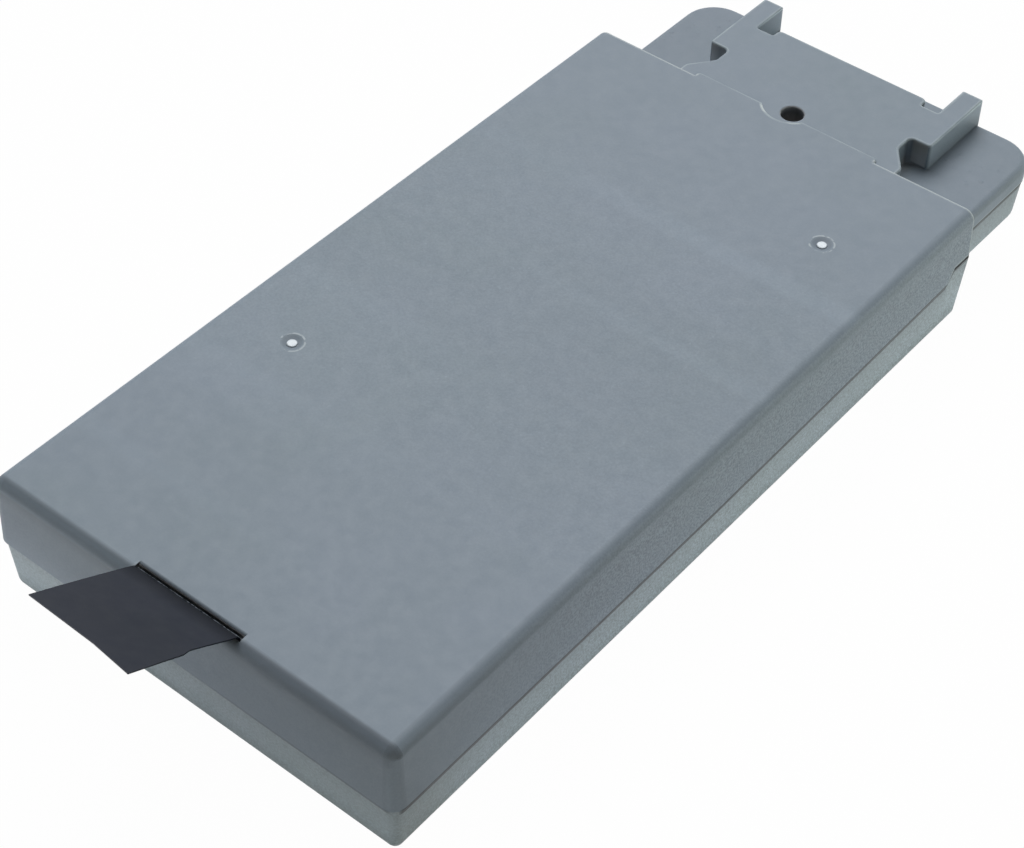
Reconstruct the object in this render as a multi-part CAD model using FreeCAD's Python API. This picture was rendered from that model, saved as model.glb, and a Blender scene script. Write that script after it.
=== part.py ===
import FreeCAD, Part
import math
import os

# A slim removable battery pack: a two-shell moulded housing with a stepped tongue, a raised plate
# with two hook arms, a film pull tab, and the cells, strips, board and terminal block inside.
# Millimetres. X runs across the pack, Y along it towards the tongue, Z up.
# The origin is the middle of the housing's flat underside, without the tongue.

# Cells: round cans of one standard size, lying across the housing
CELL_COUNT = 6
CELL_RADIUS = 9.2
CELL_LENGTH = 65.2
CELL_GAP = 0.2
CELL_FRONT_GAP = 2.3
CELL_HEADROOM = 0.2
BUTTON_RADIUS = 3.0
BUTTON_HEIGHT = 0.8
BUTTON_BEVEL = 0.25
CRIMP_DISTANCE = 4.2
CRIMP_WIDTH = 1.4
CRIMP_DEPTH = 0.5
CELL_BEVEL = 0.5
RING_THICKNESS = 0.2
RING_BORE = 4.0

# Strips, paper and leads at the cells' ends
STRIP_WIDTH = 8.0
STRIP_THICKNESS = 0.15
STRIP_END = 3.0
TAIL_WIDTH = 3.0
TAIL_REACH = 1.8
TAIL_LANDING = 3.0
PAPER_THICKNESS = 0.2
PAPER_WIDTH = 16.8
PAPER_END = 1.0
WINDOW_WIDTH = 3.2
WINDOW_LENGTH = 4.2
LEAD_RADIUS = 0.5
LEAD_CLEARANCE = 0.35
LEAD_BEND = 3.5
LEAD_LANDING = 2.5
JOINT_RADIUS = 1.3

# Housing: its width and height follow from one cell, its length from the row of cells and the board
WALL = 1.6
SKIN = 1.4
BOARD_BAY = 18.3
PARTING_STEP = 0.1
CELL_ROW = CELL_COUNT * (2 * CELL_RADIUS + CELL_GAP) - CELL_GAP
CELL_END_STACK = STRIP_THICKNESS + PAPER_THICKNESS + 2 * LEAD_RADIUS + LEAD_CLEARANCE
BODY_WIDTH = CELL_LENGTH + 2 * (CELL_END_STACK + PARTING_STEP + WALL)
BODY_LENGTH = CELL_FRONT_GAP + CELL_ROW + BOARD_BAY
BODY_HEIGHT = 2 * (CELL_RADIUS + CELL_HEADROOM + SKIN)
PLAN_RADIUS = 2.2
INNER_RADIUS = 0.4
TOP_ROUND = 1.8
BOTTOM_ROUND = 2.0
BACK_EDGE_ROUND = 0.3
UPPER_DRAFT = 0.5
LOWER_DRAFT = 1.1

# Parting line between the shells, which climbs over the back half and steps up ahead of the tongue
PARTING_HEIGHT = 10.1
PARTING_CLIMB = 1.15
PARTING_CLIMB_START = 64.0
PARTING_RISE = 2.15
PARTING_RISE_START = 5.8
PARTING_RISE_RUN = 1.5
PARTING_RISE_ROUND = 0.7
SHADOW_GAP = 0.25
LIP_INSET = 0.9
LIP_HEIGHT = 1.0
LIP_CLEARANCE = 0.06

# Tongue, a little to the right of the housing's middle
TONGUE_SHIFT = 0.7
TONGUE_INSET = 3.65
TONGUE_LENGTH = 24.9
TONGUE_DROP = 5.1
TONGUE_BOTTOM = 6.2
TONGUE_CORNER = 6.0
TONGUE_TOP_ROUND = 1.2
TONGUE_BOTTOM_ROUND = 1.0
TONGUE_DRAFT = 0.6
TONGUE_ROOT = 8.0
TONGUE_RELIEF = 0.4
TONGUE_RELIEF_LENGTH = 6.0

# Raised plate with its two hook arms
PLATE_DROP = 0.4
PLATE_LENGTH = 19.1
PLATE_SHOULDER = 1.8
PLATE_SHOULDER_WIDTH = 28.4
PLATE_CORNER = 0.9
NECK_WIDTH = 34.7
NECK_FLARE = 3.1
NECK_FLARE_START = 1.9
NECK_FLARE_END = 5.9
NECK_BEND = 1.5
NECK_LENGTH = 9.3
ARM_OUTER_WIDTH = 42.0
ARM_THICKNESS = 3.7
ARM_SETBACK = 0.1
ARM_FRONT_CORNER = 0.6
ARM_CORNER = 0.3
PLATE_ROUND = 0.3

# Brow: the middle of the housing's top edge stands over the plate, with a notch beside the hole
BROW_LEFT = 16.6
BROW_RIGHT = 17.4
BROW_LENGTH = 1.1
BROW_CORNER = 0.8
NOTCH_SHIFT = -1.15
NOTCH_RADIUS = 4.65
NOTCH_DEPTH = 2.1

# Blind locating hole
HOLE_RADIUS = 1.85
HOLE_OFFSET = 2.25
HOLE_DEPTH = 6.0
HOLE_ROUND = 0.3
HOLE_WALL = 1.4

# Gate marks on the top: a shallow dimple with the stub of the moulding gate in it
GATE_LEFT = -22.9
GATE_LEFT_Y = -20.7
GATE_RIGHT = 22.0
GATE_RIGHT_Y = 45.0
DIMPLE_RADIUS = 1.7
DIMPLE_DEPTH = 0.35
STUB_RADIUS = 0.85
STUB_HEIGHT = 0.25

# Slot for the film pull tab
SLOT_SHIFT = -0.3
SLOT_WIDTH = 18.9
SLOT_FRONT = 1.6
SLOT_BACK = 2.65
SLOT_ROUND = 0.5
SLOT_DEPTH = 8.8

# Film pull tab, cut a little out of square and nicked on its right edge, doubled in the pocket
TAB_THICKNESS = 0.2
TAB_PLY_DROP = 0.15
TAB_LEFT_GAP = 0.45
TAB_RIGHT_GAP = 0.15
TAB_WALL_GAP = 0.15
TAB_FOOT_GAP = 0.2
TAB_BEND_RADIUS = 1.5
TAB_BEND_DROP = 0.4
TAB_START_SLOPE = 30.3
TAB_END_SLOPE = 28.7
TAB_LENGTH = 20.1
TAB_SKEW = 1.15
TAB_LEAN = 0.35
TAB_HOLLOW = 0.4
TAB_HOLLOW_PLACE = 0.63
TAB_NICK = 0.25
TAB_NICK_START = 6.2
TAB_NICK_END = 7.6

# Ribs in both shells that cradle the cells
SADDLE_OFFSET = 22.0
SADDLE_THICKNESS = 1.2
SADDLE_HEIGHT = 5.0
SADDLE_CLEARANCE = 0.25
RIB_ROOT = 0.3

# Circuit board and its supports
BOARD_INSET = 8.0
BOARD_THICKNESS = 1.0
BOARD_TOP = 10.6
BOARD_FRONT_GAP = 3.0
BOARD_CORNER = 1.0
POST_RADIUS = 2.0
POST_INSET = 4.0
PIN_RADIUS = 0.9
PIN_CLEARANCE = 0.1
PIN_HEIGHT = 1.4

# Parts on the board, placed from its middle and from its nearer edge
TRANSISTOR_X = 8.0
TRANSISTOR_Y = 9.5
TRANSISTOR_LENGTH = 5.0
TRANSISTOR_WIDTH = 4.0
TRANSISTOR_HEIGHT = 1.6
TRANSISTOR_LEGS = 4
TRANSISTOR_PITCH = 1.27
GAUGE_X = -15.0
GAUGE_Y = 10.0
GAUGE_LENGTH = 6.6
GAUGE_WIDTH = 4.4
GAUGE_HEIGHT = 1.1
GAUGE_LEGS = 10
GAUGE_PITCH = 0.65
CHIP_STANDOFF = 0.12
LEG_THICKNESS = 0.25
LEG_REACH = 0.9
RESISTOR_X = 12.0
RESISTOR_Y = 11.0
RESISTOR_LENGTH = 6.4
RESISTOR_WIDTH = 3.2
RESISTOR_HEIGHT = 0.6
RESISTOR_CAP = 0.9
RESISTOR_CAP_RISE = 0.05
FUSE_INSET = 8.0
FUSE_Y = 9.5
FUSE_LENGTH = 5.0
FUSE_WIDTH = 4.0
FUSE_HEIGHT = 1.3
FUSE_ROUND = 0.3
CAPACITOR_X = -4.0
CAPACITOR_Y = 10.5
CAPACITOR_COLUMNS = 3
CAPACITOR_ROWS = 2
CAPACITOR_PITCH_X = 3.6
CAPACITOR_PITCH_Y = 3.0
CAPACITOR_LENGTH = 2.0
CAPACITOR_WIDTH = 1.2
CAPACITOR_HEIGHT = 1.0
BEAD_RADIUS = 1.2
BEAD_GAP = 0.12
BEAD_LEG_RADIUS = 0.3
BEAD_LEG_SPREAD = 0.7
BEAD_LEG_LANDING = 1.6

# Terminal block
CONNECTOR_WIDTH = 30.0
CONNECTOR_HEIGHT = 5.6
CONNECTOR_SINK = 2.2
CONNECTOR_DEPTH = 8.2
CONNECTOR_SETBACK = 0.2
CONNECTOR_CLEARANCE = 0.1
FLANGE_WIDTH = 3.0
FLANGE_RISE = 0.6
FLANGE_THICKNESS = 1.6
CONTACT_COUNT = 7
CONTACT_PITCH = 3.8
CONTACT_THICKNESS = 0.5
CONTACT_HEIGHT = 3.4
CONTACT_SETBACK = 1.6
CONTACT_TAIL = 2.4
CONTACT_TAIL_HEIGHT = 0.6
SLIT_WIDTH = 1.3
SLIT_HEIGHT = 4.4
SLIT_DEPTH = 6.0

# Places worked out from the sizes above
FRONT = -BODY_LENGTH / 2
BACK = BODY_LENGTH / 2
PARTING_TOP = PARTING_HEIGHT + PARTING_CLIMB + PARTING_RISE
TONGUE_WIDTH = BODY_WIDTH - 2 * TONGUE_INSET
TONGUE_TOP = BODY_HEIGHT - TONGUE_DROP
TONGUE_END = BACK + TONGUE_LENGTH
PLATE_TOP = BODY_HEIGHT - PLATE_DROP
PLATE_BACK = BACK + PLATE_LENGTH
SHOULDER_Y = PLATE_BACK - PLATE_SHOULDER
CEILING = BODY_HEIGHT - SKIN
HOLE_Y = BACK + HOLE_OFFSET
SLOT_LEFT = SLOT_SHIFT - SLOT_WIDTH / 2
SLOT_RIGHT = SLOT_SHIFT + SLOT_WIDTH / 2
CELL_PITCH = 2 * CELL_RADIUS + CELL_GAP
CELL_Z = BODY_HEIGHT / 2
CELL_FRONT = FRONT + CELL_FRONT_GAP
CELLS_BACK = CELL_FRONT + CELL_ROW
STRIP_FACE = CELL_LENGTH / 2
PAPER_FACE = STRIP_FACE + STRIP_THICKNESS
LEAD_X = PAPER_FACE + PAPER_THICKNESS + LEAD_RADIUS
LEAD_Z = BOARD_TOP + LEAD_RADIUS
BOARD_WIDTH = BODY_WIDTH - 2 * BOARD_INSET
BOARD_BOTTOM = BOARD_TOP - BOARD_THICKNESS
BOARD_FRONT = CELLS_BACK + BOARD_FRONT_GAP
CONNECTOR_REAR = TONGUE_END - CONNECTOR_DEPTH
CONNECTOR_FACE = TONGUE_END - CONNECTOR_SETBACK
CONNECTOR_BOTTOM = BOARD_TOP - CONNECTOR_SINK
CONNECTOR_TOP = CONNECTOR_BOTTOM + CONNECTOR_HEIGHT
CONNECTOR_MIDDLE = CONNECTOR_BOTTOM + CONNECTOR_HEIGHT / 2
BOARD_BACK = CONNECTOR_REAR - CONNECTOR_CLEARANCE
BEYOND = BODY_HEIGHT
Z_AXIS = FreeCAD.Vector(0, 0, 1)
ORIGIN = FreeCAD.Vector(0, 0, 0)


def plan_at(z):
    """places an outline's two coordinates in a level plane"""
    return lambda u, v: FreeCAD.Vector(u, v, z)


def side_at(x):
    """places an outline's two coordinates, along and up, in a plane across X"""
    return lambda u, v: FreeCAD.Vector(x, u, v)


def front_at(u, v):
    """places an outline's two coordinates, across and up, in the plane of the middle of the pack"""
    return FreeCAD.Vector(u, 0, v)


def outline(corners, place):
    """closed wire through corners given as (u, v, radius), rounded where the radius isn't 0"""
    starts = []
    ends = []
    middles = []
    count = len(corners)
    for i, (u, v, radius) in enumerate(corners):
        corner = FreeCAD.Vector(u, v, 0)
        before = FreeCAD.Vector(*corners[i - 1][:2], 0) - corner
        after = FreeCAD.Vector(*corners[(i + 1) % count][:2], 0) - corner
        before.normalize()
        after.normalize()
        half = before.getAngle(after) / 2
        setback = radius / math.tan(half)
        bisector = before + after
        starts.append(corner + before * setback)
        ends.append(corner + after * setback)
        if radius:
            bisector.normalize()
            middles.append(corner + bisector * (radius / math.sin(half) - radius))
        else:
            middles.append(None)
    edges = []
    for i in range(count):
        a = place(starts[i].x, starts[i].y)
        b = place(ends[i].x, ends[i].y)
        if middles[i] is not None:
            edges.append(Part.Arc(a, place(middles[i].x, middles[i].y), b).toShape())
        following = starts[(i + 1) % count]
        c = place(following.x, following.y)
        if b.distanceToPoint(c) > 1e-6:
            edges.append(Part.LineSegment(b, c).toShape())
    return Part.Wire(edges)


def prism(corners, z_low, z_high):
    """a level outline extruded upwards"""
    face = Part.Face(outline(corners, plan_at(z_low)))
    return face.extrude(FreeCAD.Vector(0, 0, z_high - z_low))


def across(corners, x_low, x_high):
    """an outline of along and up coordinates extruded across the pack"""
    face = Part.Face(outline(corners, side_at(x_low)))
    return face.extrude(FreeCAD.Vector(x_high - x_low, 0, 0))


def box(x_low, x_high, y_low, y_high, z_low, z_high):
    corner = FreeCAD.Vector(x_low, y_low, z_low)
    return Part.makeBox(x_high - x_low, y_high - y_low, z_high - z_low, corner)


def tapered(low_corners, z_low, high_corners, z_high):
    """a drafted block between two level outlines"""
    low = outline(low_corners, plan_at(z_low))
    high = outline(high_corners, plan_at(z_high))
    return Part.makeLoft([low, high], True, True)


def upright(radius, x, y, z_low, z_high):
    """a cylinder along Z"""
    return Part.makeCylinder(radius, z_high - z_low, FreeCAD.Vector(x, y, z_low))


def lying(radius, x_low, x_high, y, z):
    """a cylinder along X"""
    base = FreeCAD.Vector(x_low, y, z)
    return Part.makeCylinder(radius, x_high - x_low, base, FreeCAD.Vector(1, 0, 0))


def rounded(shape, radius, chosen):
    """fillets the edges whose bounding boxes the function chosen picks"""
    edges = [edge for edge in shape.Edges if chosen(edge.BoundBox)]
    return shape.makeFillet(radius, edges)


def level(value, wanted):
    return abs(value - wanted) < 1e-4


def cell_y(index):
    return CELL_FRONT + CELL_RADIUS + index * CELL_PITCH


def body_plan(inset, back):
    """the body's plan, its front corners rounded, set in by inset at the front and sides"""
    half = BODY_WIDTH / 2 - inset
    front = FRONT + inset
    radius = max(PLAN_RADIUS - inset, INNER_RADIUS)
    return [(-half, front, radius), (half, front, radius), (half, back, 0), (-half, back, 0)]


def tongue_plan(inset):
    """the tongue's plan, from inside the body to its rounded end"""
    left = TONGUE_SHIFT - TONGUE_WIDTH / 2 + inset
    right = TONGUE_SHIFT + TONGUE_WIDTH / 2 - inset
    root = BACK - TONGUE_ROOT
    end = TONGUE_END - inset
    radius = TONGUE_CORNER - inset
    return [(left, root, 0), (right, root, 0), (right, end, radius), (left, end, radius)]


def below_parting(offset):
    """everything below the climbing and stepped parting surface, raised by offset"""
    low = PARTING_HEIGHT + offset
    high = PARTING_TOP + offset
    foot = BACK - PARTING_RISE_START
    corners = [
        (FRONT - BEYOND, -BEYOND, 0),
        (FRONT - BEYOND, low, 0),
        (BACK - PARTING_CLIMB_START, low, 0),
        (foot, high - PARTING_RISE, PARTING_RISE_ROUND),
        (foot + PARTING_RISE_RUN, high, PARTING_RISE_ROUND),
        (TONGUE_END + BEYOND, high, 0),
        (TONGUE_END + BEYOND, -BEYOND, 0),
    ]
    return across(corners, -BODY_WIDTH, BODY_WIDTH)


def inside_plan(inset, z_low, z_high):
    """a column over the whole housing's plan, set in by inset all round"""
    body = prism(body_plan(inset, BACK - inset), z_low, z_high)
    return body.fuse(prism(tongue_plan(inset), z_low, z_high))


def saddles(z_low, z_high, draft):
    """two ribs across the cells, rooted in the front wall and scooped out to the cells' round"""
    cells = [lying(CELL_RADIUS + SADDLE_CLEARANCE, -BODY_WIDTH, BODY_WIDTH, cell_y(i), CELL_Z)
             for i in range(CELL_COUNT)]
    front = FRONT + draft + WALL - RIB_ROOT
    half = SADDLE_THICKNESS / 2
    ribs = []
    for x in (-SADDLE_OFFSET, SADDLE_OFFSET):
        rib = box(x - half, x + half, front, CELLS_BACK + SADDLE_THICKNESS, z_low, z_high)
        ribs.append(rib.cut(cells))
    return ribs


def upper_body():
    """the top half of the main block: drafted walls, a soft top edge and a crisp back edge"""
    long_back = BACK + BEYOND
    block = tapered(body_plan(0, long_back), PARTING_HEIGHT,
                    body_plan(UPPER_DRAFT, long_back), BODY_HEIGHT)
    block = rounded(block, TOP_ROUND, lambda b: level(b.ZMin, BODY_HEIGHT) and b.YMin < BACK)
    block = block.cut(box(-BODY_WIDTH, BODY_WIDTH, BACK, long_back + 1, 0, BODY_HEIGHT + 1))
    return rounded(block, BACK_EDGE_ROUND,
                   lambda b: level(b.YMin, BACK) and b.ZMax > PARTING_HEIGHT + 1)


def brow():
    """the lip of the top skin that stands over the plate's root, its top edge broken"""
    corners = [
        (-BROW_LEFT, BACK - WALL, 0),
        (BROW_RIGHT, BACK - WALL, 0),
        (BROW_RIGHT, BACK + BROW_LENGTH, BROW_CORNER),
        (-BROW_LEFT, BACK + BROW_LENGTH, BROW_CORNER),
    ]
    lip = prism(corners, PLATE_TOP - SKIN / 2, BODY_HEIGHT)
    return rounded(lip, BACK_EDGE_ROUND, lambda b: level(b.ZMin, BODY_HEIGHT) and b.YMax > BACK)


def brow_notch():
    """the round bite in the brow beside the hole"""
    y = BACK + BROW_LENGTH - NOTCH_DEPTH + NOTCH_RADIUS
    return upright(NOTCH_RADIUS, TONGUE_SHIFT + NOTCH_SHIFT, y, PLATE_TOP, BODY_HEIGHT + 1)


def upper_tongue():
    block = prism(tongue_plan(0), PARTING_TOP - WALL, TONGUE_TOP)
    root = BACK - TONGUE_ROOT
    return rounded(block, TONGUE_TOP_ROUND, lambda b: level(b.ZMin, TONGUE_TOP) and b.YMax > root + 1)


def plate_half():
    """right half of the raised plate's outline, from the body round to the middle of its back"""
    neck = NECK_WIDTH / 2
    arm = ARM_OUTER_WIDTH / 2
    arm_end = TONGUE_END - ARM_SETBACK
    return [
        (neck + NECK_FLARE, BACK - WALL / 2, 0),
        (neck + NECK_FLARE, BACK + NECK_FLARE_START, NECK_BEND),
        (neck, BACK + NECK_FLARE_END, NECK_BEND),
        (neck, BACK + NECK_LENGTH, PLATE_CORNER),
        (arm, BACK + NECK_LENGTH, ARM_FRONT_CORNER),
        (arm, arm_end, ARM_CORNER),
        (arm - ARM_THICKNESS, arm_end, ARM_CORNER),
        (arm - ARM_THICKNESS, SHOULDER_Y, ARM_CORNER),
        (PLATE_SHOULDER_WIDTH / 2, SHOULDER_Y, ARM_CORNER),
        (PLATE_SHOULDER_WIDTH / 2, PLATE_BACK, PLATE_CORNER),
    ]


def raised_plate():
    """the plate and the two arms that hook the pack in, one level pad on the tongue"""
    right = plate_half()
    left = [(-x, y, radius) for x, y, radius in reversed(right)]
    pad = prism(right + left, TONGUE_TOP - TONGUE_TOP_ROUND, PLATE_TOP)
    pad.translate(FreeCAD.Vector(TONGUE_SHIFT, 0, 0))
    return rounded(pad, PLATE_ROUND, lambda b: level(b.ZMin, PLATE_TOP) and b.YMax > BACK)


def plate_cavity():
    left = TONGUE_SHIFT - NECK_WIDTH / 2 + WALL
    right = TONGUE_SHIFT + NECK_WIDTH / 2 - WALL
    return box(left, right, BACK, SHOULDER_Y - WALL, TONGUE_TOP - 2 * SKIN, PLATE_TOP - SKIN)


def locating_hole():
    """the blind hole with its softly rounded mouth, as a solid to cut"""
    mouth = HOLE_RADIUS + HOLE_ROUND
    bore = upright(HOLE_RADIUS, 0, 0, PLATE_TOP - HOLE_DEPTH, PLATE_TOP)
    ring = Part.makeTorus(mouth, HOLE_ROUND, FreeCAD.Vector(0, 0, PLATE_TOP - HOLE_ROUND), Z_AXIS)
    collar = upright(mouth, 0, 0, PLATE_TOP - HOLE_ROUND, PLATE_TOP).cut(ring)
    above = upright(mouth, 0, 0, PLATE_TOP, BODY_HEIGHT + 1)
    hole = bore.fuse([collar, above])
    hole.translate(FreeCAD.Vector(TONGUE_SHIFT, HOLE_Y, 0))
    return hole


def hole_boss():
    """the wall round the hole under the plate"""
    bottom = PLATE_TOP - HOLE_DEPTH - SKIN
    return upright(HOLE_RADIUS + HOLE_WALL, TONGUE_SHIFT, HOLE_Y, bottom, PLATE_TOP - SKIN / 2)


def upper_cavity():
    body = tapered(body_plan(WALL, BACK - WALL), PARTING_HEIGHT - 1,
                   body_plan(WALL + UPPER_DRAFT, BACK - WALL), CEILING)
    tongue = prism(tongue_plan(WALL), PARTING_HEIGHT - 1, TONGUE_TOP - SKIN)
    return [body, tongue, plate_cavity()]


def tab_slot():
    """the slot by the front top edge, its back lip rounded, and the pocket below for the film"""
    front = FRONT + SLOT_FRONT
    back = FRONT + SLOT_BACK
    bottom = BODY_HEIGHT - SLOT_DEPTH
    corners = [
        (front, bottom, 0),
        (back, bottom, 0),
        (back, BODY_HEIGHT, SLOT_ROUND),
        (back + SLOT_ROUND, BODY_HEIGHT, 0),
        (back + SLOT_ROUND, BODY_HEIGHT + 1, 0),
        (front, BODY_HEIGHT + 1, 0),
    ]
    return across(corners, SLOT_LEFT, SLOT_RIGHT)


def gate_marks(shell):
    """cuts the two shallow dimples and leaves a low stub in the middle of each"""
    sphere = (DIMPLE_RADIUS ** 2 + DIMPLE_DEPTH ** 2) / (2 * DIMPLE_DEPTH)
    floor = BODY_HEIGHT - DIMPLE_DEPTH
    for x, y in ((GATE_LEFT, GATE_LEFT_Y), (GATE_RIGHT, GATE_RIGHT_Y)):
        dimple = Part.makeSphere(sphere, FreeCAD.Vector(x, y, floor + sphere))
        stub = upright(STUB_RADIUS, x, y, CEILING + SKIN / 2, floor + STUB_HEIGHT)
        stub = rounded(stub, STUB_HEIGHT, lambda b: level(b.ZMin, floor + STUB_HEIGHT))
        shell = shell.cut(dimple).fuse(stub)
    return shell


def connector_opening():
    half = CONNECTOR_WIDTH / 2 + CONNECTOR_CLEARANCE
    low = CONNECTOR_BOTTOM - CONNECTOR_CLEARANCE
    high = CONNECTOR_TOP + CONNECTOR_CLEARANCE
    return box(TONGUE_SHIFT - half, TONGUE_SHIFT + half, TONGUE_END - 2 * WALL, TONGUE_END + 1, low, high)


def upper_shell():
    """the lid: body top, tongue top and plate in one moulding, open below"""
    shell = upper_body().fuse([upper_tongue(), raised_plate(), brow()]).removeSplitter()
    shell = shell.cut([brow_notch()] + upper_cavity())
    ribs = saddles(CEILING - SADDLE_HEIGHT, CEILING + SKIN / 2, UPPER_DRAFT)
    shell = shell.fuse([hole_boss()] + ribs)
    rebate = inside_plan(LIP_INSET - LIP_CLEARANCE, 0, TONGUE_TOP)
    rebate = rebate.common(below_parting(LIP_HEIGHT))
    shell = shell.cut([locating_hole(), tab_slot(), connector_opening(), below_parting(0), rebate])
    return gate_marks(shell).removeSplitter()


def lower_body():
    """the bottom half of the main block, drafted in towards a soft bottom edge"""
    long_back = BACK + BEYOND
    foot_inset = PARTING_STEP + LOWER_DRAFT
    block = tapered(body_plan(foot_inset, long_back), 0, body_plan(PARTING_STEP, long_back), PARTING_TOP)
    block = rounded(block, BOTTOM_ROUND, lambda b: level(b.ZMax, 0) and b.YMin < BACK)
    block = block.cut(box(-BODY_WIDTH, BODY_WIDTH, BACK, long_back + 1, -1, BODY_HEIGHT))
    return rounded(block, BACK_EDGE_ROUND, lambda b: level(b.YMin, BACK) and b.ZMin < PARTING_TOP - 1)


def lower_tongue():
    """the underside of the tongue, with a shallow relief ahead of the terminals"""
    block = tapered(tongue_plan(PARTING_STEP + TONGUE_DRAFT), TONGUE_BOTTOM,
                    tongue_plan(PARTING_STEP), PARTING_TOP)
    root = BACK - TONGUE_ROOT
    block = rounded(block, TONGUE_BOTTOM_ROUND,
                    lambda b: level(b.ZMax, TONGUE_BOTTOM) and b.YMax > root + 1)
    return block.cut(box(-BODY_WIDTH, BODY_WIDTH, TONGUE_END - TONGUE_RELIEF_LENGTH, TONGUE_END + 1,
                         0, TONGUE_BOTTOM + TONGUE_RELIEF))


def lower_cavity():
    at_parting = PARTING_STEP + WALL
    body = tapered(body_plan(at_parting + LOWER_DRAFT, BACK - WALL), SKIN,
                   body_plan(at_parting, BACK - WALL), PARTING_TOP)
    tongue = tapered(tongue_plan(at_parting + TONGUE_DRAFT), TONGUE_BOTTOM + SKIN,
                     tongue_plan(at_parting), PARTING_TOP)
    return [body, tongue]


def post_places():
    """the four supports of the board: (x, y, underside of the housing there)"""
    x = BOARD_WIDTH / 2 - POST_INSET
    return [
        (-x, BOARD_FRONT + POST_INSET, 0),
        (x, BOARD_FRONT + POST_INSET, 0),
        (-x, BOARD_BACK - POST_INSET, TONGUE_BOTTOM),
        (x, BOARD_BACK - POST_INSET, TONGUE_BOTTOM),
    ]


def board_posts():
    """posts that the board rests on, each with a pin through the board"""
    posts = []
    for x, y, underside in post_places():
        posts.append(upright(POST_RADIUS, x, y, underside + SKIN / 2, BOARD_BOTTOM))
        posts.append(upright(PIN_RADIUS, x, y, BOARD_BOTTOM - SKIN / 2, BOARD_BOTTOM + PIN_HEIGHT))
    return posts


def parting_lip():
    """the low wall inside the joint that keys into the upper shell"""
    ring = inside_plan(LIP_INSET, 0, TONGUE_TOP).cut(inside_plan(WALL, 0, TONGUE_TOP))
    band = below_parting(LIP_HEIGHT).cut(below_parting(-LIP_HEIGHT))
    return ring.common(band)


def lower_shell():
    """the tray: body and tongue undersides in one moulding, with lip, ribs and board posts"""
    shell = lower_body().fuse(lower_tongue())
    shell = shell.cut(lower_cavity())
    shell = shell.common(below_parting(-SHADOW_GAP))
    ribs = saddles(SKIN / 2, SKIN + SADDLE_HEIGHT, PARTING_STEP + LOWER_DRAFT)
    shell = shell.fuse([parting_lip()] + ribs + board_posts())
    return shell.cut(connector_opening()).removeSplitter()


def on_arc(centre, radius, angle):
    return centre + FreeCAD.Vector(0, math.cos(angle), math.sin(angle)) * radius


def film_face_line(side):
    """points along one face of the film, side of half its thickness from its middle: up the
    pocket, round the bend over the slot's edge, then out in one long flat curve"""
    y = FRONT + SLOT_FRONT + TAB_WALL_GAP + TAB_THICKNESS / 2
    foot = BODY_HEIGHT - SLOT_DEPTH + TAB_FOOT_GAP
    turn = math.radians(90 - TAB_START_SLOPE)
    sweep = math.radians(TAB_START_SLOPE - TAB_END_SLOPE)
    long_radius = TAB_LENGTH / sweep
    bend_centre = FreeCAD.Vector(0, y - TAB_BEND_RADIUS, BODY_HEIGHT - TAB_BEND_DROP)
    long_centre = on_arc(bend_centre, TAB_BEND_RADIUS - long_radius, turn)
    return [
        FreeCAD.Vector(0, y + side, foot),
        on_arc(bend_centre, TAB_BEND_RADIUS + side, 0),
        on_arc(bend_centre, TAB_BEND_RADIUS + side, turn / 2),
        on_arc(bend_centre, TAB_BEND_RADIUS + side, turn),
        on_arc(long_centre, long_radius + side, turn + sweep / 2),
        on_arc(long_centre, long_radius + side, turn + sweep),
    ]


def film_plan(end_y):
    """the film's outline from above: leaning, out of square, hollow at its end and nicked"""
    left = SLOT_LEFT + TAB_LEFT_GAP
    right = SLOT_RIGHT - TAB_RIGHT_GAP
    inner = FRONT + SLOT_BACK
    left_end = end_y + TAB_SKEW
    hollow_x = left + TAB_LEAN + TAB_HOLLOW_PLACE * (right - left)
    hollow_y = left_end - TAB_HOLLOW_PLACE * TAB_SKEW + TAB_HOLLOW
    return [
        (left, inner, 0),
        (right, inner, 0),
        (right, FRONT, 0),
        (right - TAB_NICK, FRONT - TAB_NICK_START, 0),
        (right + TAB_LEAN / 2, FRONT - TAB_NICK_END, 0),
        (right + TAB_LEAN, end_y, 0),
        (hollow_x, hollow_y, 0),
        (left + TAB_LEAN, left_end, 0),
        (left, FRONT, 0),
    ]


def pull_tab():
    """the film: a thin bent strip with a second ply folded up behind it, trimmed to its outline"""
    outer = film_face_line(TAB_THICKNESS / 2)
    inner = film_face_line(-TAB_THICKNESS / 2)
    edges = []
    for line in (outer, inner):
        edges.append(Part.LineSegment(line[0], line[1]).toShape())
        edges.append(Part.Arc(line[1], line[2], line[3]).toShape())
        edges.append(Part.Arc(line[3], line[4], line[5]).toShape())
    edges.append(Part.LineSegment(outer[0], inner[0]).toShape())
    edges.append(Part.LineSegment(outer[5], inner[5]).toShape())
    face = Part.Face(Part.Wire(Part.__sortEdges__(edges)))
    face.translate(FreeCAD.Vector(SLOT_LEFT, 0, 0))
    strip_of_film = face.extrude(FreeCAD.Vector(SLOT_WIDTH + TAB_LEAN, 0, 0))
    ply = box(SLOT_LEFT, SLOT_RIGHT, outer[0].y, outer[0].y + TAB_THICKNESS, outer[0].z,
              BODY_HEIGHT - TAB_PLY_DROP)
    strip_of_film = strip_of_film.fuse(ply).removeSplitter()
    return strip_of_film.common(prism(film_plan(outer[5].y), 0, BODY_HEIGHT + TAB_LENGTH))


def faces_right(index):
    """pairs of cells point alternately right and left, so that the strips join them in series"""
    return (index // 2) % 2 == 0


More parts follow.
